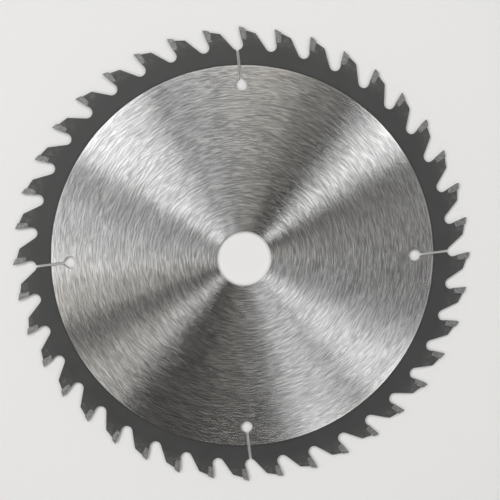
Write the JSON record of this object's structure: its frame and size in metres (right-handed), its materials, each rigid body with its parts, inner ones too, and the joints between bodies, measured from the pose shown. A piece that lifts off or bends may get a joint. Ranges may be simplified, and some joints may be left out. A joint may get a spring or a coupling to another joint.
{
  "type": "circular saw blade",
  "caption": "Carbide-tipped circular saw blade: a brushed steel disc with a painted toothed band, keyhole expansion slots and brazed tips ground to an alternate top bevel.",
  "frame": {"origin": "centre of the arbor bore, in the middle of the plate's thickness", "axes": "+Z along the bore's axis, towards the face from which the teeth are seen to cut counter-clockwise; +X towards the point of the first tooth"},
  "size_m": [0.25, 0.25, 0.0032],
  "materials": {
    "bare_steel": "ground and brushed in short circular strokes inside a smooth satin grey painted band that holds the teeth",
    "carbide": "sintered tungsten carbide, grey, with finely ground faces"
  },
  "bodies": {
    "root": {"saw_plate": "bare_steel", "carbide_tip_01": "carbide", "carbide_tip_02": "carbide", "carbide_tip_03": "carbide", "carbide_tip_04": "carbide", "carbide_tip_05": "carbide", "carbide_tip_06": "carbide", "carbide_tip_07": "carbide", "carbide_tip_08": "carbide", "carbide_tip_09": "carbide", "carbide_tip_10": "carbide", "carbide_tip_11": "carbide", "carbide_tip_12": "carbide", "carbide_tip_13": "carbide", "carbide_tip_14": "carbide", "carbide_tip_15": "carbide", "carbide_tip_16": "carbide", "carbide_tip_17": "carbide", "carbide_tip_18": "carbide", "carbide_tip_19": "carbide", "carbide_tip_20": "carbide", "carbide_tip_21": "carbide", "carbide_tip_22": "carbide", "carbide_tip_23": "carbide", "carbide_tip_24": "carbide", "carbide_tip_25": "carbide", "carbide_tip_26": "carbide", "carbide_tip_27": "carbide", "carbide_tip_28": "carbide", "carbide_tip_29": "carbide", "carbide_tip_30": "carbide", "carbide_tip_31": "carbide", "carbide_tip_32": "carbide", "carbide_tip_33": "carbide", "carbide_tip_34": "carbide", "carbide_tip_35": "carbide", "carbide_tip_36": "carbide", "carbide_tip_37": "carbide", "carbide_tip_38": "carbide", "carbide_tip_39": "carbide", "carbide_tip_40": "carbide"}
  },
  "joints": []
}
